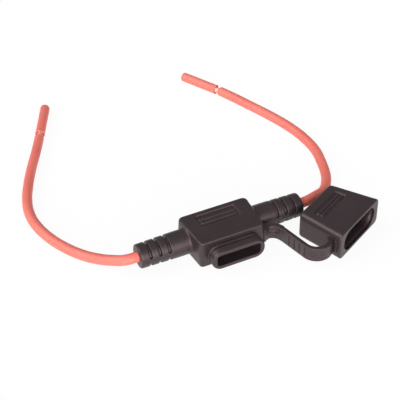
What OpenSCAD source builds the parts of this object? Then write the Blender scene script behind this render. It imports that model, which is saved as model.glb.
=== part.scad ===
// Inline blade fuse holder with a tethered push-on cap and two leads.
// Frame: +X along the leads, the mouth faces -Y, +Z up.
// Origin: centre of the housing's flat underside, below the lead axis.

/* [Housing] */
// Width of the block at its back edge
block_back_w = 33.4; // [32:0.2:36]
// Width of the block at its front edge
block_front_w = 30.8; // [29.6:0.2:31.6]
// Distance from the lead axis to the back face
block_back = 8.8; // [8:0.2:11]
// Distance from the lead axis to the front face
block_front = 12.4; // [11.8:0.2:15]
// Thickness of the block and of the cap
block_t = 13.4; // [13:0.1:15]
// Radius of the block's upright corners at the back
back_corner_r = 2.2; // [1.5:0.1:3.5]
// Radius of the block's upright corners beside the mouth
front_corner_r = 1.4; // [1:0.1:2]
// Radius of the edges round the flat faces
edge_r = 0.5; // [0.3:0.1:0.9]
// Inset of the flat faces by the mould draft
mould_draft = 0.3; // [0.1:0.1:0.8]

/* [Grip recess] */
// Length of the recess in the top face along the leads
recess_w = 18.5; // [12:0.5:19.5]
// Width of the recess across the leads
recess_l = 7.4; // [5:0.2:8]
// Distance from the block's back face to the recess
recess_inset = 3; // [1.5:0.1:4]
// Depth of the recess
recess_depth = 0.7; // [0.3:0.1:1]
// Number of raised bars in a recess
recess_bars = 2; // [1:1:3]
// Width of one raised bar as a share of the recess
bar_share = 0.22; // [0.12:0.01:0.26]

/* [Boots] */
// Distance from the centre to the end of a boot
boot_end = 38.6; // [37:0.2:46]
// Diameter of the neck at the block
neck_d = 11.4; // [10.6:0.1:12.2]
// Diameter of the boot at its end
boot_end_d = 10.7; // [9.6:0.1:11]
// Distance from the centre to the first groove
groove_first = 25.6; // [24:0.2:27]
// Distance from one groove to the next
groove_pitch = 4.3; // [3.4:0.1:4.6]
// Number of grooves on one boot
groove_n = 3; // [2:1:3]
// Width of a groove
groove_w = 1.2; // [0.8:0.1:1.6]
// Depth of a groove
groove_depth = 1.3; // [0.6:0.1:1.7]
// Height of the web that bridges the grooves at the parting line
web_h = 1.8; // [1:0.1:3]

/* [Mouth] */
// Length of the collar from the block's front face
collar_l = 5.9; // [5.4:0.1:8]
// Width of the collar's lip
lip_w = 24.6; // [24.2:0.1:25.4]
// Height of the collar's lip
lip_h = 9.4; // [9:0.1:9.8]
// Length of the lip, measured back from the mouth
lip_l = 3.3; // [2.8:0.1:3.6]
// Bevel round the lip's front edge
lip_bevel = 0.6; // [0.2:0.1:1]
// Depth of the grooves before and behind the sealing bead
seal_groove_depth = 0.8; // [0.3:0.1:1]
// Width of the sealing bead
bead_w = 1.1; // [0.8:0.1:1.3]
// Width of the fuse slot, for a 19.1 mm fuse body
slot_w = 20.2; // [19.4:0.1:20.4]
// Height of the fuse slot, for a 5.1 mm fuse body
slot_h = 5.5; // [5.2:0.1:5.8]
// Corner radius of the fuse slot
slot_r = 1.2; // [0.5:0.1:2]
// Depth of the fuse slot from the mouth to the blade shoulder
slot_depth = 9.6; // [9:0.1:10.4]

/* [Terminals] */
// Distance between the centres of the two fuse blades
blade_pitch = 10; // [9.4:0.1:10.4]
// Thickness of a fuse blade
blade_t = 0.65; // [0.5:0.05:0.8]
// Thickness of the terminal strip
strip_t = 0.5; // [0.4:0.05:0.6]
// Outside width of a jaw
jaw_w = 6.4; // [6:0.1:6.8]
// Length of a jaw
jaw_l = 7; // [6:0.1:7.2]
// Outside radius of the rolled jaw wings
jaw_roll_r = 1.25; // [1.1:0.05:1.4]
// Length of the conductor crimp
core_crimp_l = 5; // [4:0.1:5.4]
// Length of the insulation crimp
skin_crimp_l = 3; // [2:0.1:3.4]
// Gap between the two crimps
crimp_gap = 0.8; // [0.5:0.1:1.2]

/* [Leads] */
// Diameter of the lead's insulation
lead_d = 4.7; // [4.2:0.1:5]
// Diameter of the stranded conductor
core_d = 2.9; // [2.4:0.1:3]
// Bare conductor showing before the left slug
left_bare_l = 1.2; // [0.6:0.1:4]
// Bare conductor showing before the right slug
right_bare_l = 2.2; // [0.6:0.1:4]
// Length of the left insulation slug
left_slug_l = 22; // [15:0.5:30]
// Length of the right insulation slug
right_slug_l = 22; // [15:0.5:30]

/* [Strap] */
// Thickness of the strap
strap_t = 2.2; // [1.8:0.1:2.4]
// Height of the strap on edge
strap_h = 6; // [4:0.2:7]
// Distance of the strap's root in front of the lead axis
strap_root = 9.7; // [9:0.1:10.2]
// Straight run out of the block's side
strap_run_1 = 1.6; // [1.4:0.1:4]
// Centre radius of the bend next to the block
strap_bend_1 = 5.2; // [4:0.1:6]
// Angle of the bend next to the block
strap_turn_1 = 72; // [66:1:76]
// Straight run in the middle
strap_run_2 = 15.8; // [12:0.1:17]
// Centre radius of the curl next to the cap
strap_bend_2 = 4.8; // [4.4:0.1:5.4]
// Angle of the curl next to the cap
strap_turn_2 = 132; // [120:1:140]
// Straight run into the cap's side
strap_run_3 = 4; // [3:0.1:6]
// Length of strap from the block to the first flex line
flex_at = 23.8; // [22:0.1:24.6]
// Length of strap between the two flex lines
flex_gap = 3.9; // [3.8:0.1:5]

/* [Cap] */
// Width of the cap at its open end
cap_open_w = 32; // [31:0.2:33]
// Width of the cap at its closed end
cap_closed_w = 26.4; // [25:0.2:31]
// Length of the cap
cap_l = 22.6; // [21.6:0.2:26]
// Corner radius of the cap's outline seen from its open end
cap_r = 2.3; // [1.6:0.1:3.2]
// Depth of the cavity
cavity_l = 18.8; // [17:0.2:19.6]
// Depth to which the cavity stays straight, for the collar
cavity_straight_l = 8; // [7:0.2:10]
// Side wall of the cap where the cavity ends
cap_wall = 1.6; // [1.2:0.1:2.4]
// Running clearance between the cavity and the lip, all round
cap_clear = 0.4; // [0.3:0.05:0.5]
// Width of the recess in the cap's top face
cap_recess_w = 18.5; // [12:0.5:19.5]
// Length of the recess in the cap's top face
cap_recess_l = 5.4; // [4:0.1:6]
// Distance from the open end to the middle of the recess
cap_recess_at = 15.2; // [13:0.1:17]
// Middle of the open end, along the leads
cap_x = 53.6; // [53.4:0.1:54]
// Middle of the open end, in front of the lead axis
cap_y = 26.6; // [26.2:0.1:27.2]
// Direction that the open end faces, below the +X axis
cap_turn = 62; // [60:1:62]

/* [Hidden] */
$fn = 64;

soft_black = [0.20, 0.19, 0.19];
lead_red = [0.88, 0.32, 0.26];
copper = [0.80, 0.52, 0.36];
tin = [0.78, 0.77, 0.74];

eps = 0.01;
fit = 0.05;               // fixed pieces lie this far from their seats
z_mid = block_t / 2;      // height of the lead axis and of the parting line
mouth_y = -block_front - collar_l;
slot_end = mouth_y + slot_depth;

// Seal: groove, bead, groove and lip, one behind the other.
throat_w = lip_w - 2 * seal_groove_depth;
throat_h = lip_h - 2 * seal_groove_depth;
throat_l = collar_l - lip_l;
bead_at = (throat_l - bead_w) / 2;
end_flat = 0.3;           // the oval sections keep this much flat at each end, on either side

// Cavity of the cap, round the lip.
cavity_w = lip_w + 2 * cap_clear;
cavity_h = lip_h + 2 * cap_clear;
cavity_r = cavity_h / 2 - end_flat;
cavity_deep_w = cap_open_w - (cap_open_w - cap_closed_w) * cavity_l / cap_l - 2 * cap_wall;
cavity_deep_h = cavity_h - 1;

// Terminal: jaw centred on the blade, crimps centred on the lead axis.
jaw_x = blade_pitch / 2;
jaw_front = slot_end + 0.3;
jaw_back = jaw_front + jaw_l;
core_crimp_x = jaw_x + jaw_w / 2 + 1;
core_crimp_r = core_d / 2 + fit + strip_t;
skin_crimp_x = core_crimp_x + core_crimp_l + crimp_gap;
skin_crimp_r = lead_d / 2 + fit + strip_t;
crimp_end = skin_crimp_x + skin_crimp_l;
lead_start = skin_crimp_x;
jaw_floor = -blade_t / 2 - strip_t;      // underside of the strip, from the lead axis
jaw_h = 2 * (strip_t + blade_t / 2) + 2 * jaw_roll_r - strip_t;

// Lead routes, centre line, in millimetres.
left_route = [
    [-44, 0.6, 6.5], [-48.2, 4.2, 5.2], [-53, 10, 3.4],
    [-57.8, 16.6, 2.4], [-62.4, 24, 2.35], [-66.3, 33, 2.35],
    [-68.8, 43.5, 2.35], [-69, 53, 2.35], [-67, 62.8, 2.35],
    [-63.2, 73, 2.35], [-58.4, 83.5, 2.35], [-53, 94, 2.35],
    [-48.5, 103, 2.35], [-44.8, 110.6, 2.35]
];
right_route = [
    [43, 0.4, 6.6], [48.8, 2.6, 5.6], [55, 6, 4],
    [60.4, 10.8, 2.8], [64.6, 18, 2.35], [67.4, 27, 2.35],
    [69.2, 37, 2.35], [69.4, 47.5, 2.35], [68, 58, 2.35],
    [65.4, 68, 2.35], [62, 78, 2.35], [58.2, 88.2, 2.35],
    [54.9, 97, 2.35], [51.6, 104.8, 2.35]
];
// Direction of each half-stripped end, from the end of the insulation.
left_end_turn = 65;
right_end_turn = 117;

// Plain helpers

function unit(v) = v / norm(v);
function rot2(p, a) = [p[0] * cos(a) - p[1] * sin(a), p[0] * sin(a) + p[1] * cos(a)];

// Rectangle with round corners, centred, with true arcs.
module round_rect(w, h, r) {
    square([w - 2 * r, h], center = true);
    square([w, h - 2 * r], center = true);
    for (sx = [-1, 1], sy = [-1, 1])
        translate([sx * (w / 2 - r), sy * (h / 2 - r)]) circle(r);
}

// Block of that section, its back face at y, running towards -Y.
module front_slab(y, l, w, h, r) {
    translate([0, y, z_mid]) rotate([90, 0, 0]) linear_extrude(l) round_rect(w, h, r);
}

// Cylinder along +X from x, or along -X for a negative length.
module rod_x(x, l, r, r2 = undef) {
    translate([x, 0, z_mid]) rotate([0, 90, 0])
        cylinder(h = l, r1 = r, r2 = r2 == undef ? r : r2);
}

// Disc with rounded rims, for the corners of a hull.
module pill(r, h, e) {
    translate([0, 0, e]) cylinder(h = h - 2 * e, r = r, $fn = 32);
    cylinder(h = h, r = r - e, $fn = 32);
    translate([0, 0, e * 0.3]) cylinder(h = h - e * 0.6, r = r - e * 0.3, $fn = 32);
}

// Raised bars in a sunk field; the field's middle is at the origin.
module sunk_bars(w, l, depth) {
    pitch = l / (recess_bars + 1);
    bar_w = l * bar_share;
    difference() {
        translate([-w / 2, -l / 2, -depth]) cube([w, l, depth + 1]);
        for (i = [1:recess_bars])
            translate([-w / 2 + depth, -l / 2 + i * pitch - bar_w / 2, -depth - 1])
                cube([w - 2 * depth, bar_w, depth + 1 - 0.15]);
    }
}

// Housing

// Four upright corners at the mid plane and at both flat faces, drawn together.
module block() {
    in = mould_draft;
    h = block_t / 2;
    back_x = block_back_w / 2 - back_corner_r;
    back_y = block_back - back_corner_r;
    front_x = block_front_w / 2 - front_corner_r;
    front_y = front_corner_r - block_front;
    hull() {
        for (s = [-1, 1]) {
            for (z = [0, block_t - h]) {
                translate([s * (back_x - in), back_y - in, z]) pill(back_corner_r, h, edge_r);
                translate([s * (front_x - in), front_y + in, z]) pill(front_corner_r, h, edge_r);
            }
            translate([s * back_x, back_y, z_mid - 0.5]) cylinder(h = 1, r = back_corner_r, $fn = 32);
            translate([s * front_x, front_y, z_mid - 0.5]) cylinder(h = 1, r = front_corner_r, $fn = 32);
        }
    }
}

function boot_r(x) = let (x0 = groove_first - groove_pitch)
    x < x0 ? neck_d / 2 : neck_d / 2 + (boot_end_d - neck_d) / 2 * (x - x0) / (boot_end - x0);

// Smooth neck, then rings parted by grooves with webs at the parting line.
module boot() {
    x0 = groove_first - groove_pitch;
    rod_x(block_front_w / 2 - 3, x0 - block_front_w / 2 + 3, neck_d / 2);
    difference() {
        rod_x(x0, boot_end - x0, neck_d / 2, boot_end_d / 2);
        for (i = [0:groove_n - 1]) {
            x = groove_first + i * groove_pitch;
            difference() {
                rod_x(x - groove_w / 2, groove_w, neck_d);
                rod_x(x - groove_w, 2 * groove_w, boot_r(x) - groove_depth);
                for (s = [-1, 1])
                    translate([x - groove_w, s > 0 ? 0 : -neck_d, z_mid - web_h / 2])
                        cube([2 * groove_w, neck_d, web_h]);
            }
        }
        // rounded rim at the end of the boot
        translate([boot_end, 0, z_mid]) rotate([0, 90, 0]) rotate_extrude()
            polygon([
                [boot_end_d / 2 - 0.6, 1], [boot_end_d / 2 - 0.6, 0],
                [boot_end_d / 2 - 0.18, -0.18], [boot_end_d / 2 + 0.1, -0.7],
                [boot_end_d / 2 + 1, -0.7], [boot_end_d / 2 + 1, 1]
            ]);
    }
}

// Throat, bead and lip; the lip's front edge is bevelled.
module collar() {
    lip_r = lip_h / 2 - end_flat;
    in = 0.6 * lip_bevel;
    front_slab(-block_front + 1, throat_l + 1 + eps, throat_w, throat_h, throat_h / 2 - end_flat);
    front_slab(-block_front - bead_at, bead_w, lip_w + 0.3, lip_h + 0.3, lip_r + 0.15);
    hull() {
        front_slab(mouth_y + lip_l, lip_l - lip_bevel, lip_w, lip_h, lip_r, $fn = 48);
        front_slab(mouth_y + lip_bevel * 0.4, lip_bevel * 0.4, lip_w - 2 * in, lip_h - 2 * in, lip_r - in, $fn = 48);
    }
}

// Room for the fuse, the two jaws, the crimps and the leads.
module housing_hollow() {
    front_slab(slot_end, slot_depth + 1, slot_w, slot_h, slot_r);
    pocket_w = jaw_w + 0.4;
    pocket_h = jaw_h + 0.4;
    for (s = [-1, 1]) {
        translate([s * jaw_x - pocket_w / 2, slot_end - eps, z_mid - pocket_h / 2])
            cube([pocket_w, jaw_back + 0.2 - slot_end + eps, pocket_h]);
        translate([s > 0 ? jaw_x - jaw_w / 2 - 0.2 : -core_crimp_x - eps, jaw_back - 0.2, z_mid - pocket_h / 2])
            cube([core_crimp_x - jaw_x + jaw_w / 2 + 0.2 + eps, core_crimp_r + 0.2 - jaw_back, pocket_h]);
        mirror([s > 0 ? 0 : 1, 0, 0]) {
            rod_x(core_crimp_x - eps, crimp_end - core_crimp_x + 0.2 + eps, skin_crimp_r + fit);
            rod_x(crimp_end, boot_end + 1 - crimp_end, lead_d / 2 + fit);
        }
    }
}

module housing() {
    color(soft_black) difference() {
        union() {
            block();
            boot();
            mirror([1, 0, 0]) boot();
            collar();
        }
        housing_hollow();
        translate([0, block_back - recess_inset - recess_l / 2, block_t]) sunk_bars(recess_w, recess_l, recess_depth);
    }
}

// Terminals

// Section of a jaw: a floor and two wings rolled over until they meet the blade.
module jaw_section() {
    roll_z = jaw_floor + jaw_roll_r;
    translate([-jaw_w / 2 + jaw_roll_r, jaw_floor]) square([jaw_w - 2 * jaw_roll_r, strip_t]);
    for (s = [-1, 1]) translate([s * (jaw_w / 2 - jaw_roll_r), roll_z])
        difference() {
            circle(jaw_roll_r);
            circle(jaw_roll_r - strip_t);
            // the roll is open towards the blade, below its tip
            translate([s > 0 ? -jaw_roll_r : 0, -jaw_roll_r + strip_t]) square([jaw_roll_r, 1.2 * blade_t]);
        }
}

// Split tube along +X: one crimp barrel, its seam on top.
module crimp_barrel(x, l, r) {
    difference() {
        rod_x(x, l, r);
        rod_x(x - 1, l + 2, r - strip_t);
        translate([x - 1, -0.15, z_mid]) cube([l + 2, 0.3, r + 1]);
    }
}

// Stamped in one piece: jaw, flat, web, conductor crimp, bridge and insulation crimp.
module terminal() {
    bridge_w = core_d / 2;
    step_x = skin_crimp_x - strip_t - 0.1;
    low = skin_crimp_r - 0.1;
    web_w = 1.4 * core_crimp_r;
    flat_x = jaw_x - jaw_w / 2 + jaw_roll_r + 0.1;
    coined = 0.03;        // the flat is pressed this much thinner on each side
    translate([0, 0, z_mid]) {
        translate([jaw_x, jaw_back, 0]) rotate([90, 0, 0]) linear_extrude(jaw_l) jaw_section();
        translate([flat_x, jaw_back - 0.15, jaw_floor + coined])
            cube([core_crimp_x - flat_x, core_crimp_r - jaw_back + 0.15, strip_t - 2 * coined]);
        translate([core_crimp_x - strip_t, -web_w / 2, -core_crimp_r])
            cube([strip_t + 0.6, web_w, strip_t]);
        translate([core_crimp_x - strip_t, -web_w / 2, -core_crimp_r])
            cube([strip_t, web_w, jaw_floor + core_crimp_r + 2 * coined]);
        translate([core_crimp_x + core_crimp_l - 0.6, -bridge_w / 2, -core_crimp_r])
            cube([crimp_gap + 0.5, bridge_w, strip_t]);
        translate([step_x, -bridge_w / 2, -low])
            cube([strip_t, bridge_w, low - core_crimp_r + strip_t]);
        translate([step_x, -bridge_w / 2, -low])
            cube([strip_t + 0.6, bridge_w, strip_t - 0.15]);
    }
    crimp_barrel(core_crimp_x, core_crimp_l, core_crimp_r);
    crimp_barrel(skin_crimp_x, skin_crimp_l, skin_crimp_r);
}

module left_terminal() { color(tin) mirror([1, 0, 0]) terminal(); }
module right_terminal() { color(tin) terminal(); }

module crimped_core() {
    rod_x(core_crimp_x + 0.3, lead_start - core_crimp_x - 0.3, core_d / 2);
}

module left_crimped_core() { color(copper) mirror([1, 0, 0]) crimped_core(); }
module right_crimped_core() { color(copper) crimped_core(); }

// Leads

function ring(c, t, r, n) = let (a = unit(cross(t, [0, 0, 1])), b = cross(a, t))
    [for (i = [0:n - 1]) c + r * (cos(360 * i / n) * a + sin(360 * i / n) * b)];

function tangent(p, i) = let (n = len(p) - 1)
    i == 0 ? unit(p[1] - p[0]) : i == n ? unit(p[n] - p[n - 1]) :
    unit(unit(p[i] - p[i - 1]) + unit(p[i + 1] - p[i]));

// Round tube swept along the points of a route, closed by flat ends.
module tube(p, d, n = 12) {
    m = len(p);
    pts = [for (i = [0:m - 1]) each ring(p[i], tangent(p, i), d / 2, n)];
    sides = [for (i = [0:m - 2], j = [0:n - 1]) let (k = (j + 1) % n)
        each [[i * n + j, i * n + k, (i + 1) * n + k], [i * n + j, (i + 1) * n + k, (i + 1) * n + j]]];
    ends = [[for (j = [n - 1:-1:0]) j], [for (j = [0:n - 1]) (m - 1) * n + j]];
    polyhedron(points = pts, faces = concat(sides, ends));
}

module left_lead() {
    color(lead_red) tube(concat([[-lead_start, 0, z_mid], [-boot_end, 0, z_mid]], left_route), lead_d);
}

module right_lead() {
    color(lead_red) tube(concat([[lead_start, 0, z_mid], [boot_end, 0, z_mid]], right_route), lead_d);
}

// Places children on the end of a route, running on from it along +X.
module at_end(p, turn) {
    translate(p[len(p) - 1]) rotate([0, 0, turn]) rotate([0, 90, 0]) children();
}

module bare_core(bare_l, slug_l) {
    cylinder(h = bare_l + slug_l - 0.4, r = core_d / 2);
}

module slug(bare_l, slug_l) {
    translate([0, 0, bare_l]) difference() {
        cylinder(h = slug_l, r = lead_d / 2);
        translate([0, 0, -1]) cylinder(h = slug_l + 2, r = core_d / 2 + fit);
    }
}

module left_bare_core() { color(copper) at_end(left_route, left_end_turn) bare_core(left_bare_l, left_slug_l); }
module right_bare_core() { color(copper) at_end(right_route, right_end_turn) bare_core(right_bare_l, right_slug_l); }
module left_slug() { color(lead_red) at_end(left_route, left_end_turn) slug(left_bare_l, left_slug_l); }
module right_slug() { color(lead_red) at_end(right_route, right_end_turn) slug(right_bare_l, right_slug_l); }

// Strap

// Centre line of the strap as a point and a heading at length s from the block.
strap_x = block_front_w / 2 + (block_back_w - block_front_w) / 2
    * (block_front - strap_root) / (block_front + block_back);
arc_1 = strap_bend_1 * strap_turn_1 * PI / 180;
arc_2 = strap_bend_2 * strap_turn_2 * PI / 180;
s_1 = strap_run_1;
s_2 = s_1 + arc_1;
s_3 = s_2 + strap_run_2;
s_4 = s_3 + arc_2;
strap_end = s_4 + strap_run_3;

function go(p, l) = [p[0] + l * cos(p[2]), p[1] + l * sin(p[2]), p[2]];
function bend(p, r, a) = let (s = sign(a)) [
    p[0] + s * r * (sin(p[2] + a) - sin(p[2])),
    p[1] - s * r * (cos(p[2] + a) - cos(p[2])),
    p[2] + a
];
p_0 = [strap_x, -strap_root, 0];
p_1 = go(p_0, strap_run_1);
p_2 = bend(p_1, strap_bend_1, -strap_turn_1);
p_3 = go(p_2, strap_run_2);
p_4 = bend(p_3, strap_bend_2, strap_turn_2);
function strap_at(s) =
    s <= s_1 ? go(p_0, s) :
    s <= s_2 ? bend(p_1, strap_bend_1, -(s - s_1) / strap_bend_1 * 180 / PI) :
    s <= s_3 ? go(p_2, s - s_2) :
    s <= s_4 ? bend(p_3, strap_bend_2, (s - s_3) / strap_bend_2 * 180 / PI) :
    go(p_4, s - s_4);
function beside(p, d) = [p[0] - d * sin(p[2]), p[1] + d * cos(p[2])];

flex_a = strap_at(flex_at);
flex_b = strap_at(flex_at + flex_gap);
flex_room = 0.2;                  // gap between two runs at a flex line
root_sunk = 0.4;                  // the root is moulded into the block by this much

// Flat run of strap on edge. Its left and right sides may end at other lengths.
module strap_run(from_s, to_left, to_right, n = 24) {
    l = [for (i = [0:n]) beside(strap_at(from_s + (to_left - from_s) * i / n), strap_t / 2)];
    r = [for (i = [n:-1:0]) beside(strap_at(from_s + (to_right - from_s) * i / n), -strap_t / 2)];
    translate([0, 0, z_mid - strap_h / 2]) linear_extrude(strap_h) polygon(concat(l, r));
}

// Round end of a run, about a flex line.
module strap_nose(p) {
    translate([p[0], p[1], z_mid - strap_h / 2]) cylinder(h = strap_h, r = strap_t / 2);
}

// The side that folds inwards is cut back further than the outer side.
outer_cut = strap_t / 2 + flex_room;
inner_cut = strap_t / 2 + 3.5 * flex_room;

module strap_root() {
    color(soft_black) {
        strap_run(-root_sunk, flex_at - outer_cut, flex_at - inner_cut);
        // thick pad where the strap leaves the block
        translate([0, 0, z_mid - strap_h / 2]) linear_extrude(strap_h)
            polygon([
                beside(strap_at(-root_sunk), strap_t / 2 + 0.9), beside(strap_at(2.6), strap_t / 2 + 0.3),
                beside(strap_at(4.2), strap_t / 2 - 0.2), beside(strap_at(4.2), 0.2 - strap_t / 2),
                beside(strap_at(2.6), -strap_t / 2 - 0.3), beside(strap_at(-root_sunk), -strap_t / 2 - 0.9)
            ]);
    }
}

module strap_link() {
    color(soft_black) {
        strap_nose(flex_a);
        strap_run(flex_at, flex_at + flex_gap - outer_cut, flex_at + flex_gap - inner_cut, 8);
    }
}

// Outline of the cap's strap side, a little off its wall.
module past_cap_side() {
    place_cap() translate([0, 0, -1]) linear_extrude(block_t + 2) polygon([
        [cap_open_w / 2 + wall_gap, 6], [cap_open_w / 2 + wall_gap, 0],
        [cap_closed_w / 2 + wall_gap, -cap_l], [-cap_closed_w / 2, -cap_l], [-cap_open_w / 2, 6]
    ]);
}
wall_gap = 0.3;

module strap_tip() {
    color(soft_black) {
        strap_nose(flex_b);
        difference() {
            strap_run(flex_at + flex_gap, strap_end + 3, strap_end + 3, 40);
            past_cap_side();
        }
    }
}

// Cap

// The cap is drawn as it sits on the mouth, open towards +Y at the origin.
module place_cap() {
    translate([cap_x, -cap_y, 0]) rotate([0, 0, -cap_turn - 90]) children();
}

module cap_shell() {
    e = 0.8;
    back = -cap_l;
    hull() {
        front_slab(-0.3, 0.5, cap_open_w, block_t, cap_r, $fn = 48);
        front_slab(0, 0.3, cap_open_w - 0.6, block_t - 0.6, cap_r - 0.3, $fn = 48);
        front_slab(back + e + 0.01, 0.01, cap_closed_w, block_t, cap_r, $fn = 48);
        front_slab(back + 0.3 * e, 0.01, cap_closed_w - 0.7 * e, block_t - 0.7 * e, cap_r - 0.35 * e, $fn = 48);
        front_slab(back + 0.01, 0.01, cap_closed_w - 2 * e, block_t - 2 * e, cap_r - e, $fn = 48);
    }
}

module cap() {
    color(soft_black) place_cap() difference() {
        cap_shell();
        front_slab(1, cavity_straight_l + 1, cavity_w, cavity_h, cavity_r);
        hull() {
            front_slab(-cavity_straight_l + eps, eps, cavity_w, cavity_h, cavity_r);
            front_slab(eps - cavity_l, eps, cavity_deep_w, cavity_deep_h, cavity_deep_h / 2 - end_flat);
        }
        // groove that the sealing bead snaps into
        front_slab(-bead_at + 0.3, bead_w + 0.4, cavity_w + 0.8, cavity_h + 0.8, cavity_r + 0.4);
        translate([0, -cap_recess_at, block_t])
            sunk_bars(min(cap_recess_w, cap_closed_w - 4), cap_recess_l, recess_depth);
    }
}

housing();
left_terminal();
right_terminal();
left_crimped_core();
right_crimped_core();
left_lead();
right_lead();
left_bare_core();
right_bare_core();
left_slug();
right_slug();
strap_root();
strap_link();
strap_tip();
cap();
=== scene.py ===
"""Looks of the inline fuse holder: camera, leads, soft mouldings, strap, terminals and light."""
import math
import bpy
import bmesh
from mathutils import Matrix, Vector


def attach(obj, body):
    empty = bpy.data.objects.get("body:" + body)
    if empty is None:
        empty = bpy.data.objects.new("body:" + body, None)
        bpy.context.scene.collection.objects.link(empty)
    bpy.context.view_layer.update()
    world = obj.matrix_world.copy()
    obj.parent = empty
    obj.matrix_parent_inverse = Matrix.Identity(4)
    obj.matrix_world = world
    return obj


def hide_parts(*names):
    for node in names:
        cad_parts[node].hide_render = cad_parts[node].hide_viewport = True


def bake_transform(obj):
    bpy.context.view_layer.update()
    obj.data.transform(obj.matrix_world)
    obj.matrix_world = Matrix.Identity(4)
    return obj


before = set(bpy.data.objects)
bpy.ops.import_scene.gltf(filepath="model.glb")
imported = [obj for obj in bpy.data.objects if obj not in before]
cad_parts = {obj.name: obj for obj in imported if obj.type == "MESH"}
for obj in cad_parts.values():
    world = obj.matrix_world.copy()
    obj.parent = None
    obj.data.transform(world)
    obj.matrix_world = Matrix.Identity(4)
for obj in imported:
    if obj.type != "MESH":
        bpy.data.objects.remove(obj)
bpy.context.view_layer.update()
MM = 0.001

# Camera, solved from the photograph: turn, height, roll, distance and aim of the view.
CAMERA_TURN = -24.5
CAMERA_HEIGHT = 38.72
CAMERA_ROLL = -1.57
CAMERA_DISTANCE = 445.4 * MM
CAMERA_ASIDE = (-8.81 * MM, 18.0 * MM)
CAMERA_LENS = 92.23

# Housing and leads, as in the solids, with the leads' ends and the right bend fitted to the photograph.
Z_MID = 6.7 * MM
LEAD_D = 4.7 * MM
CORE_D = 2.9 * MM
LEFT_ROUTE = [
    (-26, 0, 6.7), (-32, 0, 6.7), (-38.6, 0, 6.7),
    (-44, 0.6, 6.5), (-48.2, 4.2, 5.2), (-53, 10, 3.4),
    (-57.8, 16.6, 2.4), (-62.4, 24, 2.35), (-66.3, 33, 2.35),
    (-68.8, 43.5, 2.35), (-69, 53, 2.35), (-67, 62.8, 2.35),
    (-63.2, 73, 2.35), (-58.4, 83.5, 2.35), (-53, 94, 2.35),
    (-48.8, 102.3, 2.35), (-46.1, 107.9, 2.35),
]
RIGHT_ROUTE = [
    (26, 0, 6.7), (32, 0, 6.7), (38.6, 0, 6.7),
    (43, 0.4, 6.6), (48.8, 2.6, 5.6), (55, 6, 4),
    (59.9, 11.5, 2.8), (63.5, 17.6, 2.35), (66.7, 26.6, 2.35),
    (69.2, 37, 2.35), (69.4, 47.5, 2.35), (68, 58, 2.35),
    (65.4, 68, 2.35), (62, 78, 2.35), (58.2, 88.2, 2.35),
    (54.9, 97, 2.35), (51.6, 104.8, 2.35),
]
LEFT_END = {"turn": 65, "bare": 2.5 * MM, "slug": 23.7 * MM}
RIGHT_END = {"turn": 117, "bare": 2.2 * MM, "slug": 22 * MM}

# Strap: centre line as runs and bends, section, flex lines, and lengths where its features lie.
STRAP_T = 2.2 * MM
STRAP_H = 6.9 * MM
STRAP_Z = 6.3 * MM
STRAP_FROM = (15.566 * MM, -9.7 * MM)
STRAP_RUNS = (2.1 * MM, 14.75 * MM, 5.2 * MM)
STRAP_BENDS = ((5.2 * MM, -76.4), (6 * MM, 131.8))
STRAP_SUNK = 0.6 * MM
STRAP_END = 40.3 * MM
STRAP_CUTS = (25.9 * MM, 31.5 * MM)
STRAP_RIBS = (14.6 * MM, 17.8 * MM, 21 * MM, 24.1 * MM)
STRAP_GATE = (26.9 * MM, -0.9 * MM)
STRAP_EDGE = 0.5 * MM
STRAP_STEP = 0.13 * MM
STRAP_BEND_FROM = 14.5 * MM
BLEND_GAP = 0.1 * MM
STRAP_STILL = 1 * MM

# Strap's marks and thickenings. A pair is an edge and how softly it is crossed.
RIB_DEPTH = 0.6 * MM
RIB_HALF = (0.36 * MM, 0.14 * MM)
RIB_MARGIN = 0.55 * MM
RIB_END = (0, 0.15 * MM)
GATE_DEPTH = 0.55 * MM
GATE_HALF = (0.5 * MM, 0.14 * MM)
GATE_STRETCH = 1.5
SLOT_DEPTH = 0.6 * MM
SLOT_FROM = (3 * MM, 0.2 * MM)
SLOT_TO = (6.8 * MM, 0.2 * MM)
SLOT_DROP = 0.1 * MM
SLOT_HALF = (0.32 * MM, 0.12 * MM)
POCKET_DEPTH = 0.22 * MM
POCKET_FROM = (4.2 * MM, 0.15 * MM)
POCKET_TO = (8.4 * MM, 0.15 * MM)
POCKET_LOW = (0.5 * MM, 0.12 * MM)
POCKET_HIGH = (2.5 * MM, 0.12 * MM)
ROOT_PAD = 0.2 * MM
ROOT_PAD_TO = (9.4 * MM, 0.25 * MM)
ROOT_FLARE = 1.3 * MM
ROOT_FLARE_L = 3.4 * MM
CAP_FLARE = 0.35 * MM
CAP_FLARE_FROM = (STRAP_END - 2.6 * MM, 1 * MM)

# Cap: middle of its open end, the direction that it faces, and its widths.
CAP_OPEN = Vector((53.6, -26.6, 6.7)) * MM
CAP_TURN = -62
CAP_WIDTHS = (32 * MM, 26.4 * MM)
CAP_L = 22.6 * MM

# Pad on the cap's side: from and to, back from the open end; how far it stands out; its height.
PAD_FROM = 1.9 * MM
PAD_TO = 3.4 * MM
PAD_OUT = 0.8 * MM
PAD_H = 6.4 * MM

# Cut ends of the insulation: length of the rounding in millimetres, and radius left at the end.
END_EASE = 0.7
END_SHARE = 0.8

# Slugs and strands at the leads' ends.
SLUG_SPARE = 0.1 * MM
SLUG_TEAR = 0.45 * MM
SLUG_SIDES = 48
STRANDS = 11
STRAND_R = 0.36 * MM
STRAND_LAY = 250
STRAND_STEPS = 14
STRAND_SIDES = 10
CORE_SIDES = 24
CORE_SUNK = 0.3 * MM
CORE_HIDDEN = 2 * MM

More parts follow.
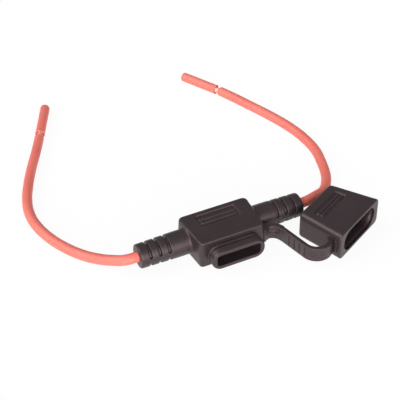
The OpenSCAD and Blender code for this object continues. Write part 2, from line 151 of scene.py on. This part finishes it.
# Where the mouldings keep crisp edges. A pair is an edge and how softly it is crossed.
BLOCK_PANEL_SIDE = (10.4 * MM, 0.5 * MM)
BLOCK_PANEL_FRONT = (-2.8 * MM, 0.5 * MM)
BLOCK_PANEL_BACK = (6.6 * MM, 0.4 * MM)
BLOCK_FRONT = (-12.9 * MM, 0.3 * MM)
NECK_FROM = (19 * MM, 1 * MM)
CAP_PANEL_SIDE = (10.3 * MM, 0.5 * MM)
CAP_PANEL_NEAR = (11.5 * MM, 0.4 * MM)
CAP_PANEL_FAR = (18.9 * MM, 0.4 * MM)
CAP_RIM = (1.6 * MM, 0.8 * MM)

# Looks.
VOXEL = 0.24 * MM
EASE_ROUNDS = 3
SOFT_ROUNDS = 50
PAD_SUNK = 0.6 * MM
PAD_VOXEL = 0.12 * MM
PAD_ROUNDS = 6
MOST_TRIANGLES = 180000
SEAM_HALF = 0.16 * MM
# Painted shade at the mould's parting line: the colour its groove is darkened to.
SEAM_PAINTED_SHADE = (0.01, 0.009, 0.009)
BLACK_LOW = (0.022, 0.0155, 0.017)
BLACK_HIGH = (0.029, 0.0205, 0.0225)
RED_LOW = (0.735, 0.160, 0.124)
RED_HIGH = (0.795, 0.182, 0.141)
COPPER_LOW = (0.85, 0.52, 0.40)
COPPER_HIGH = (0.92, 0.63, 0.50)
TIN_LOW = (0.66, 0.64, 0.60)
TIN_HIGH = (0.78, 0.76, 0.72)
SKY_TOWARDS = (-0.3, -0.95, 0)
SKY_DARK = 0.3
SKY_BRIGHT = 5
SKY_EDGE = (0.5, 1)
SUN_FROM = (-0.8, 0.3, 0.8)
SUN_STRENGTH = 1.8
SUN_ANGLE = 50
FLOOR_GLOW = 0.93
FLOOR_WHITE = 0.94
FLOOR_HALF = 3
FLOOR_DROP = 0.2 * MM


# Camera

def make_camera():
    a, e, r = (math.radians(x) for x in (CAMERA_TURN, CAMERA_HEIGHT, CAMERA_ROLL))
    back = Vector((math.sin(a) * math.cos(e), -math.cos(a) * math.cos(e), math.sin(e)))
    level = (-back).cross(Vector((0, 0, 1))).normalized()
    upright = level.cross(-back)
    right = math.cos(r) * level + math.sin(r) * upright
    up = math.cos(r) * upright - math.sin(r) * level
    data = bpy.data.cameras.new("camera")
    data.lens = CAMERA_LENS
    data.sensor_width = 36
    data.clip_start = 0.01
    data.clip_end = 10
    camera = bpy.data.objects.new("camera", data)
    bpy.context.scene.collection.objects.link(camera)
    place = back * CAMERA_DISTANCE + right * CAMERA_ASIDE[0] + up * CAMERA_ASIDE[1]
    turn = Matrix((right, up, back)).transposed().to_4x4()
    camera.matrix_world = Matrix.Translation(place) @ turn
    bpy.context.scene.camera = camera


# Materials

def new_material(name):
    m = bpy.data.materials.new(name)
    m.use_nodes = True
    nodes = m.node_tree.nodes
    return m, nodes, m.node_tree.links, nodes["Principled BSDF"]


def noise(nodes, links, where, scale, detail=2.0, rough=0.5):
    n = nodes.new("ShaderNodeTexNoise")
    n.inputs["Scale"].default_value = scale
    n.inputs["Detail"].default_value = detail
    n.inputs["Roughness"].default_value = rough
    links.new(where, n.inputs["Vector"])
    return n.outputs["Fac"]


def ramp(nodes, links, value, stops):
    r = nodes.new("ShaderNodeValToRGB")
    while len(r.color_ramp.elements) < len(stops):
        r.color_ramp.elements.new(0.5)
    for element, (at, colour) in zip(r.color_ramp.elements, stops):
        element.position = at
        element.color = (*colour, 1)
    links.new(value, r.inputs["Fac"])
    return r.outputs["Color"]


def spread(nodes, links, value, low, high):
    n = nodes.new("ShaderNodeMapRange")
    n.inputs["To Min"].default_value = low
    n.inputs["To Max"].default_value = high
    links.new(value, n.inputs["Value"])
    return n.outputs["Result"]


def bump(nodes, links, layers, shader):
    """Several heights, each with its depth in metres, stacked on one another."""
    normal = None
    for height, depth in layers:
        b = nodes.new("ShaderNodeBump")
        b.inputs["Strength"].default_value = 1
        b.inputs["Distance"].default_value = depth
        links.new(height, b.inputs["Height"])
        if normal:
            links.new(normal, b.inputs["Normal"])
        normal = b.outputs["Normal"]
    links.new(normal, shader.inputs["Normal"])


def seam_line(nodes, links, where):
    """Share of the mould's parting line, a thin band at the lead axis, for its groove and its painted
    shade.
    """
    height = nodes.new("ShaderNodeSeparateXYZ")
    links.new(where, height.inputs["Vector"])
    above = nodes.new("ShaderNodeMath")
    above.operation = "SUBTRACT"
    above.inputs[1].default_value = Z_MID
    links.new(height.outputs["Z"], above.inputs[0])
    off = nodes.new("ShaderNodeMath")
    off.operation = "ABSOLUTE"
    links.new(above.outputs[0], off.inputs[0])
    band = nodes.new("ShaderNodeMapRange")
    band.interpolation_type = "SMOOTHSTEP"
    band.inputs["From Min"].default_value = SEAM_HALF * 0.3
    band.inputs["From Max"].default_value = SEAM_HALF
    band.inputs["To Min"].default_value = 1
    band.inputs["To Max"].default_value = 0
    links.new(off.outputs[0], band.inputs["Value"])
    return band.outputs["Result"]


def soft_black():
    """Moulded elastomer: warm near-black, satin, finely eroded, with the mould's parting line as a
    shallow groove whose colour is darkened with painted shade.
    """
    m, nodes, links, shader = new_material("soft_black")
    where = nodes.new("ShaderNodeTexCoord").outputs["Object"]
    cloud = noise(nodes, links, where, 90, 3)
    grain = noise(nodes, links, where, 2600, 3, 0.6)
    dust = noise(nodes, links, where, 700, 4, 0.7)
    seam_and_shade = seam_line(nodes, links, where)
    colour = ramp(nodes, links, cloud, [(0.3, BLACK_LOW), (0.7, BLACK_HIGH)])
    # Painted shade: the colour is darkened along the parting line, standing in for the shade in its
    # groove.
    dark = nodes.new("ShaderNodeMix")
    dark.data_type = "RGBA"
    dark.inputs["B"].default_value = (*SEAM_PAINTED_SHADE, 1)
    links.new(seam_and_shade, dark.inputs["Factor"])
    links.new(colour, dark.inputs["A"])
    links.new(dark.outputs["Result"], shader.inputs["Base Color"])
    links.new(spread(nodes, links, dust, 0.36, 0.46), shader.inputs["Roughness"])
    shader.inputs["IOR"].default_value = 1.6
    shader.inputs["Specular Tint"].default_value = (1, 0.76, 0.78, 1)
    hollow = spread(nodes, links, seam_and_shade, 1, 0)
    bump(nodes, links, [(grain, 0.03 * MM), (dust, 0.03 * MM), (hollow, 0.1 * MM)], shader)
    return m


def lead_red():
    """Red insulation: smooth, softly glossy, with faint drawing marks."""
    m, nodes, links, shader = new_material("lead_red")
    where = nodes.new("ShaderNodeTexCoord").outputs["Object"]
    cloud = noise(nodes, links, where, 60, 2)
    grain = noise(nodes, links, where, 1500, 2)
    colour = ramp(nodes, links, cloud, [(0.3, RED_LOW), (0.7, RED_HIGH)])
    links.new(colour, shader.inputs["Base Color"])
    links.new(spread(nodes, links, grain, 0.42, 0.52), shader.inputs["Roughness"])
    shader.inputs["Subsurface Weight"].default_value = 0.2
    shader.inputs["Subsurface Radius"].default_value = (0.002, 0.0006, 0.0004)
    bump(nodes, links, [(grain, 0.012 * MM)], shader)
    return m


def copper():
    """Bare copper strands, a little dull."""
    m, nodes, links, shader = new_material("copper")
    where = nodes.new("ShaderNodeTexCoord").outputs["Object"]
    cloud = noise(nodes, links, where, 500, 2)
    colour = ramp(nodes, links, cloud, [(0.3, COPPER_LOW), (0.7, COPPER_HIGH)])
    links.new(colour, shader.inputs["Base Color"])
    links.new(spread(nodes, links, cloud, 0.28, 0.42), shader.inputs["Roughness"])
    shader.inputs["Metallic"].default_value = 0.35
    return m


def tinned():
    """Tin plate on the stamped terminals."""
    m, nodes, links, shader = new_material("tinned")
    where = nodes.new("ShaderNodeTexCoord").outputs["Object"]
    cloud = noise(nodes, links, where, 400, 3)
    colour = ramp(nodes, links, cloud, [(0.3, TIN_LOW), (0.7, TIN_HIGH)])
    links.new(colour, shader.inputs["Base Color"])
    links.new(spread(nodes, links, cloud, 0.25, 0.4), shader.inputs["Roughness"])
    shader.inputs["Metallic"].default_value = 1
    return m


def dress(obj, material):
    obj.data.materials.clear()
    obj.data.materials.append(material)


def link_mesh(name, mesh):
    obj = bpy.data.objects.new(name, mesh)
    bpy.context.scene.collection.objects.link(obj)
    return obj


def shade_smooth(obj):
    obj.data.polygons.foreach_set("use_smooth", [True] * len(obj.data.polygons))


# Leads

def lead_curve(name, route):
    """Insulation as a tube along the route; its cut end is a little rounded."""
    data = bpy.data.curves.new(name, "CURVE")
    data.dimensions = "3D"
    data.bevel_depth = LEAD_D / 2
    data.bevel_resolution = 8
    data.resolution_u = 10
    data.use_fill_caps = True
    last, before = Vector(route[-1]), Vector(route[-2])
    eased = last + (before - last).normalized() * END_EASE
    places = [Vector(p) for p in route[:-1]] + [eased, last]
    spline = data.splines.new("BEZIER")
    spline.bezier_points.add(len(places) - 1)
    for point, place in zip(spline.bezier_points, places):
        point.co = place * MM
        point.handle_left_type = "AUTO"
        point.handle_right_type = "AUTO"
    spline.bezier_points[-1].radius = END_SHARE
    spline.radius_interpolation = "EASE"
    obj = bpy.data.objects.new(name, data)
    bpy.context.scene.collection.objects.link(obj)
    return obj


def curve_length(obj):
    graph = bpy.context.evaluated_depsgraph_get()
    line = obj.data.copy()
    line.bevel_depth = 0
    probe = bpy.data.objects.new("probe", line)
    bpy.context.scene.collection.objects.link(probe)
    graph.update()
    mesh = probe.evaluated_get(graph).to_mesh()
    places = [v.co for v in mesh.vertices]
    length = sum((places[e.vertices[0]] - places[e.vertices[1]]).length for e in mesh.edges)
    bpy.data.objects.remove(probe)
    return length


def axes_along(direction):
    """Two directions across a lead that points along direction."""
    z = Vector(direction).normalized()
    x = z.cross(Vector((0, 0, 1))).normalized()
    return x, z.cross(x), z


def ring_verts(bm, centre, x, y, radius, steps, along=None, ragged=0.0):
    """One ring of vertices; a ragged ring wanders along the axis like a torn edge."""
    verts = []
    for i in range(steps):
        t = 2 * math.pi * i / steps
        wave = 0.5 * math.sin(2 * t + 0.7) + 0.3 * math.sin(5 * t + 2) + 0.2 * math.sin(9 * t)
        slip = ragged * wave
        shift = along * slip if along else Vector((0, 0, 0))
        verts.append(bm.verts.new(centre + shift + radius * (math.cos(t) * x + math.sin(t) * y)))
    return verts


def join_rings(bm, low, high):
    steps = max(len(low), len(high))
    for i in range(steps):
        j = (i + 1) % steps
        corners = [low[i % len(low)], low[j % len(low)], high[j % len(high)], high[i % len(high)]]
        corners = list(dict.fromkeys(corners))
        if len(corners) > 2:
            bm.faces.new(corners)


def finish_mesh(name, bm):
    mesh = bpy.data.meshes.new(name)
    bmesh.ops.recalc_face_normals(bm, faces=bm.faces)
    bm.to_mesh(mesh)
    bm.free()
    obj = link_mesh(name, mesh)
    shade_smooth(obj)
    return obj


def make_slug(name, start, direction, length):
    """Cut piece of insulation: torn where it was pulled off, round at its far end, closed there."""
    r = LEAD_D / 2
    bore = CORE_D / 2 + SLUG_SPARE
    tear = SLUG_TEAR
    profile = [
        (bore, 3 * MM, 0), (bore, 0.5 * MM, tear), (bore + 0.15 * MM, 0.1 * MM, tear),
        (r - 0.25 * MM, 0, tear), (r + 0.06 * MM, 0.2 * MM, tear),
        (r + 0.05 * MM, 0.6 * MM, tear * 0.4), (r, 1.3 * MM, 0), (r, length * 0.5, 0),
        (r, length - 1.2 * MM, 0), (r * 0.985, length - 0.6 * MM, 0),
        (r * 0.92, length - 0.25 * MM, 0), (r * 0.78, length - 0.06 * MM, 0), (r * 0.5, length, 0),
    ]
    x, y, z = axes_along(direction)
    bm = bmesh.new()
    rings = [
        ring_verts(bm, start + z * h, x, y, radius, SLUG_SIDES, z, ragged)
        for radius, h, ragged in profile
    ]
    rings.append([bm.verts.new(start + z * length)])
    for low, high in zip(rings, rings[1:]):
        join_rings(bm, low, high)
    return finish_mesh(name, bm)


def make_strands(name, start, direction, length):
    """Twisted strands round a filled middle, from inside the insulation to inside the slug."""
    lay_r = CORE_D / 2 - STRAND_R
    x, y, z = axes_along(direction)
    bm = bmesh.new()
    for k in range(STRANDS):
        rings = []
        for i in range(STRAND_STEPS + 1):
            h = length * i / STRAND_STEPS
            t = 2 * math.pi * k / STRANDS + STRAND_LAY * h
            centre = start + z * h + lay_r * (math.cos(t) * x + math.sin(t) * y)
            rings.append(ring_verts(bm, centre, x, y, STRAND_R, STRAND_SIDES))
        for low, high in zip(rings, rings[1:]):
            join_rings(bm, low, high)
    middle = [ring_verts(bm, start + z * h, x, y, lay_r, CORE_SIDES) for h in (0, length)]
    join_rings(bm, *middle)
    return finish_mesh(name, bm)


def make_lead(side, route, end, red, bare):
    lead = lead_curve(side + "_insulation", route)
    dress(lead, red)
    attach(lead, "holder")
    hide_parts(side + "_lead")
    tip = Vector(route[-1]) * MM
    turn = math.radians(end["turn"])
    along = Vector((math.cos(turn), math.sin(turn), 0))
    core = make_strands(side + "_strands", tip - along * CORE_SUNK, along, end["bare"] + CORE_HIDDEN)
    slug = make_slug(side + "_cut_slug", tip + along * end["bare"], along, end["slug"])
    dress(core, bare)
    dress(slug, red)
    for obj, node in ((core, side + "_bare_core"), (slug, side + "_slug")):
        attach(obj, "holder")
        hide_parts(node)
    curve_length(lead)


# Soft mouldings

def apply_modifiers(obj):
    graph = bpy.context.evaluated_depsgraph_get()
    mesh = bpy.data.meshes.new_from_object(obj.evaluated_get(graph))
    obj.modifiers.clear()
    obj.data = mesh


def eased_mesh(obj, voxel, rounds):
    """The object's form as one soft moulding: remeshed finely, its edges eased."""
    remesh = obj.modifiers.new("remesh", "REMESH")
    remesh.mode = "VOXEL"
    remesh.voxel_size = voxel
    remesh.use_smooth_shade = True
    ease = obj.modifiers.new("ease", "SMOOTH")
    ease.factor = 0.5
    ease.iterations = rounds
    apply_modifiers(obj)
    shade_smooth(obj)


def soften(obj, share, rounds):
    """Round the edges further, as far as share gives of each vertex."""
    group = obj.vertex_groups.new(name="soft")
    for v in obj.data.vertices:
        amount = share(v.co)
        if amount > 0:
            group.add([v.index], amount, "REPLACE")
    ease = obj.modifiers.new("soften", "SMOOTH")
    ease.factor = 0.5
    ease.iterations = rounds
    ease.vertex_group = group.name
    apply_modifiers(obj)
    obj.vertex_groups.clear()


def thin_out(obj, most):
    """Fewer triangles where the form is flat, down to most of them."""
    count = sum(len(f.vertices) - 2 for f in obj.data.polygons)
    if count <= most:
        return
    fewer = obj.modifiers.new("fewer", "DECIMATE")
    fewer.ratio = most / count
    apply_modifiers(obj)
    shade_smooth(obj)


def block_share(p):
    """The block's outer edges, without its marked panel, the necks' ribs and the collar."""
    panel = 1 - step(abs(p.x), *BLOCK_PANEL_SIDE)
    panel *= step(p.y, *BLOCK_PANEL_FRONT) * (1 - step(p.y, *BLOCK_PANEL_BACK))
    block = step(p.y, *BLOCK_FRONT) * (1 - step(abs(p.x), *NECK_FROM))
    return block * (1 - panel)


def cap_share(p):
    """The cap's outer edges at its closed end and sides, without its marked panel and the mouth."""
    turn = math.radians(CAP_TURN)
    dx, dy = p.x - CAP_OPEN.x, p.y - CAP_OPEN.y
    back = -(dx * math.cos(turn) + dy * math.sin(turn))
    across = dy * math.cos(turn) - dx * math.sin(turn)
    panel = 1 - step(abs(across), *CAP_PANEL_SIDE)
    panel *= step(back, *CAP_PANEL_NEAR) * (1 - step(back, *CAP_PANEL_FAR))
    return step(back, *CAP_RIM) * (1 - panel)


def moulded(name, node, body, material, share):
    """Soft copy of a solid: remeshed, its edges eased, and rounded further where share says."""
    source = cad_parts[node]
    obj = link_mesh(name, source.data.copy())
    eased_mesh(obj, VOXEL, EASE_ROUNDS)
    soften(obj, share, SOFT_ROUNDS)
    thin_out(obj, MOST_TRIANGLES)
    dress(obj, material)
    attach(obj, body)
    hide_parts(node)


def cap_point(back, across, up):
    """Point on the cap: back from its open end, across its width, up from the surface it lies on."""
    turn = math.radians(CAP_TURN)
    facing = Vector((math.cos(turn), math.sin(turn), 0))
    aside = Vector((-facing.y, facing.x, 0))
    middle = Vector((CAP_OPEN.x, CAP_OPEN.y, 0))
    return middle - facing * back + aside * across + Vector((0, 0, up))


def cap_pad(material):
    """Low pad on the cap's side, between the strap and the open end."""
    def wall(back):
        return -(CAP_WIDTHS[0] - (CAP_WIDTHS[0] - CAP_WIDTHS[1]) * back / CAP_L) / 2

    bm = bmesh.new()
    corners = []
    for back in (PAD_FROM, PAD_TO):
        for out in (PAD_SUNK, -PAD_OUT):
            for up in (Z_MID - PAD_H / 2, Z_MID + PAD_H / 2):
                corners.append(bm.verts.new(cap_point(back, wall(back) + out, up)))
    sides = ((0, 1, 3, 2), (4, 6, 7, 5), (0, 4, 5, 1), (2, 3, 7, 6), (0, 2, 6, 4), (1, 5, 7, 3))
    for ids in sides:
        bm.faces.new([corners[i] for i in ids])
    obj = finish_mesh("cap_pad", bm)
    eased_mesh(obj, PAD_VOXEL, PAD_ROUNDS)
    dress(obj, material)
    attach(obj, "cap")


# Strap

def go(p, length):
    return (p[0] + length * math.cos(p[2]), p[1] + length * math.sin(p[2]), p[2])


def bend(p, r, turn):
    s = math.copysign(1, turn)
    x = p[0] + s * r * (math.sin(p[2] + turn) - math.sin(p[2]))
    y = p[1] - s * r * (math.cos(p[2] + turn) - math.cos(p[2]))
    return (x, y, p[2] + turn)


def strap_at(s):
    """Centre and heading of the strap at length s from the block."""
    p = (*STRAP_FROM, 0.0)
    for run, (r, degrees) in zip(STRAP_RUNS, STRAP_BENDS):
        if s <= run:
            return go(p, s)
        p = go(p, run)
        s -= run
        turn = math.radians(degrees)
        arc = r * abs(turn)
        if s <= arc:
            return bend(p, r, math.copysign(s / r, turn))
        p = bend(p, r, turn)
        s -= arc
    return go(p, s)


def strap_section(a, b, r):
    """Rounded rectangle as (across, up, share of the outer face) round the section."""
    points = [(-a, (b - r) * (i / 28 - 1), 1) for i in range(56)]
    corners = ((-1, 1, 180), (1, 1, 90), (1, -1, 0), (-1, -1, -90))
    sides = (
        [(a - r) * (i / 5 - 1) for i in range(10)],
        [(b - r) * (1 - i / 10) for i in range(20)],
        [(a - r) * (1 - i / 5) for i in range(10)],
    )
    for k, (su, sv, start) in enumerate(corners):
        for i in range(6):
            t = math.radians(start - 15 * i)
            points.append((su * (a - r) + r * math.cos(t), sv * (b - r) + r * math.sin(t), 0))
        if k == 0:
            points += [(u, b, 0) for u in sides[0]]
        if k == 1:
            points += [(a, v, 0) for v in sides[1]]
        if k == 2:
            points += [(u, -b, 0) for u in sides[2]]
    return points


def step(value, edge, soft):
    """0 before the edge, 1 after it, smooth over soft on either side."""
    t = min(1.0, max(0.0, (value - edge) / (2 * soft) + 0.5))
    return t * t * (3 - 2 * t)


def strap_cut(s, v):
    """Depth of the marks in the strap's outer face: cross grooves, gate mark, slot and root pocket."""
    depth = 0.0
    tall = step(STRAP_H / 2 - RIB_MARGIN - abs(v), *RIB_END)
    for at in STRAP_RIBS:
        depth = max(depth, RIB_DEPTH * tall * (1 - step(abs(s - at), *RIB_HALF)))
    gate = math.hypot((s - STRAP_GATE[0]) / GATE_STRETCH, v - STRAP_GATE[1])
    depth = max(depth, GATE_DEPTH * (1 - step(gate, *GATE_HALF)))
    in_slot = step(s, *SLOT_FROM) * (1 - step(s, *SLOT_TO))
    depth = max(depth, SLOT_DEPTH * in_slot * (1 - step(abs(v + SLOT_DROP), *SLOT_HALF)))
    in_pocket = step(s, *POCKET_FROM) * (1 - step(s, *POCKET_TO))
    high = step(v, *POCKET_LOW) * (1 - step(v, *POCKET_HIGH))
    return max(depth, POCKET_DEPTH * in_pocket * high)


def strap_half(s):
    """Half thickness: flared at the block, a thicker root pad, flared again at the cap."""
    half = STRAP_T / 2 + ROOT_PAD * (1 - step(s, *ROOT_PAD_TO))
    half += ROOT_FLARE * max(0.0, 1 - max(s, 0) / ROOT_FLARE_L) ** 2
    half += CAP_FLARE * step(s, *CAP_FLARE_FROM)
    return half


def strap_piece(name, node, body, s_from, s_to, material):
    """One stretch of the strap as a closed skin of rounded section."""
    bm = bmesh.new()
    count = max(8, round((s_to - s_from) / STRAP_STEP))
    rings = []
    for i in range(count + 1):
        s = s_from + (s_to - s_from) * i / count
        x, y, heading = strap_at(s)
        left = Vector((-math.sin(heading), math.cos(heading), 0))
        centre = Vector((x, y, STRAP_Z))
        ring = []
        for u, v, outer in strap_section(strap_half(s), STRAP_H / 2, STRAP_EDGE):
            u += outer * strap_cut(s, v)
            ring.append(bm.verts.new(centre + left * u + Vector((0, 0, v))))
        rings.append(ring)
    for low, high in zip(rings, rings[1:]):
        join_rings(bm, low, high)
    bm.faces.new(rings[0])
    bm.faces.new(rings[-1])
    obj = finish_mesh(name, bm)
    dress(obj, material)
    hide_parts(node)
    return obj


def blend_between(obj, s_from, s_to):
    x0, y0, _ = strap_at(s_from)
    x1, y1, _ = strap_at(s_to)
    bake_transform(obj)


def make_strap(material):
    """Three stretches of the strap that meet in the same section."""
    first, second = STRAP_CUTS
    root = strap_piece("strap_from_block", "strap_root", "holder", -STRAP_SUNK, first, material)
    middle = strap_piece("strap_middle", "strap_link", "strap_bend", first, second, material)
    tip = strap_piece("strap_to_cap", "strap_tip", "strap_end", second, STRAP_END, material)
    blend_between(root, STRAP_BEND_FROM, first - BLEND_GAP)
    blend_between(middle, first + BLEND_GAP, second - BLEND_GAP)
    blend_between(tip, second + BLEND_GAP, STRAP_END - STRAP_STILL)


# Light, floor and background

def make_sun():
    data = bpy.data.lights.new("overhead", "SUN")
    data.energy = SUN_STRENGTH
    data.angle = math.radians(SUN_ANGLE)
    obj = bpy.data.objects.new("overhead", data)
    bpy.context.scene.collection.objects.link(obj)
    obj.rotation_mode = "QUATERNION"
    obj.rotation_quaternion = Vector(SUN_FROM).to_track_quat("Z", "Y")


def make_sky():
    """Soft tent: bright and low in front of the object, dim behind it, white to the camera."""
    world = bpy.data.worlds.new("studio")
    bpy.context.scene.world = world
    world.use_nodes = True
    nodes, links = world.node_tree.nodes, world.node_tree.links
    where = nodes.new("ShaderNodeTexCoord")
    towards = nodes.new("ShaderNodeVectorMath")
    towards.operation = "DOT_PRODUCT"
    towards.inputs[1].default_value = SKY_TOWARDS
    links.new(where.outputs["Generated"], towards.inputs[0])
    level = nodes.new("ShaderNodeMapRange")
    level.interpolation_type = "SMOOTHSTEP"
    level.inputs["From Min"].default_value = SKY_EDGE[0]
    level.inputs["From Max"].default_value = SKY_EDGE[1]
    level.inputs["To Min"].default_value = SKY_DARK
    level.inputs["To Max"].default_value = SKY_BRIGHT
    links.new(towards.outputs["Value"], level.inputs["Value"])
    back = nodes["Background"]
    back.inputs["Color"].default_value = (1, 1, 1, 1)
    path = nodes.new("ShaderNodeLightPath")
    seen = nodes.new("ShaderNodeMix")
    seen.inputs["B"].default_value = 1
    links.new(path.outputs["Is Camera Ray"], seen.inputs["Factor"])
    links.new(level.outputs["Result"], seen.inputs["A"])
    links.new(seen.outputs["Result"], back.inputs["Strength"])


def make_floor():
    """White floor: it glows white to the camera and in reflections, and keeps the object's shadow."""
    mesh = bpy.data.meshes.new("floor")
    r = FLOOR_HALF
    mesh.from_pydata([(-r, -r, 0), (r, -r, 0), (r, r, 0), (-r, r, 0)], [], [(0, 1, 2, 3)])
    floor = link_mesh("floor", mesh)
    m = bpy.data.materials.new("floor_white")
    m.use_nodes = True
    nodes, links = m.node_tree.nodes, m.node_tree.links
    nodes.clear()
    out = nodes.new("ShaderNodeOutputMaterial")
    diffuse = nodes.new("ShaderNodeBsdfDiffuse")
    diffuse.inputs["Color"].default_value = (FLOOR_WHITE, FLOOR_WHITE, FLOOR_WHITE, 1)
    glow = nodes.new("ShaderNodeEmission")
    glow.inputs["Strength"].default_value = 1
    path = nodes.new("ShaderNodeLightPath")
    seen = nodes.new("ShaderNodeMath")
    seen.operation = "MAXIMUM"
    links.new(path.outputs["Is Camera Ray"], seen.inputs[0])
    links.new(path.outputs["Is Glossy Ray"], seen.inputs[1])
    share = nodes.new("ShaderNodeMath")
    share.operation = "MULTIPLY"
    share.inputs[1].default_value = FLOOR_GLOW
    links.new(seen.outputs[0], share.inputs[0])
    mix = nodes.new("ShaderNodeMixShader")
    links.new(share.outputs[0], mix.inputs["Fac"])
    links.new(diffuse.outputs["BSDF"], mix.inputs[1])
    links.new(glow.outputs["Emission"], mix.inputs[2])
    links.new(mix.outputs["Shader"], out.inputs["Surface"])
    mesh.materials.append(m)
    floor.location.z = -FLOOR_DROP


# The whole scene

make_camera()
black, red, bare, tin = soft_black(), lead_red(), copper(), tinned()
make_lead("left", LEFT_ROUTE, LEFT_END, red, bare)
make_lead("right", RIGHT_ROUTE, RIGHT_END, red, bare)
for node, material, slot in [
    ("left_terminal", tin, "tinned"), ("right_terminal", tin, "tinned"),
    ("left_crimped_core", bare, "bare_copper"), ("right_crimped_core", bare, "bare_copper"),
]:
    dress(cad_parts[node], material)
moulded("soft_housing", "housing", "holder", black, block_share)
moulded("soft_cap", "cap", "cap", black, cap_share)
cap_pad(black)
make_strap(black)
make_sun()
make_sky()
make_floor()
bpy.context.scene.view_settings.view_transform = "Standard"
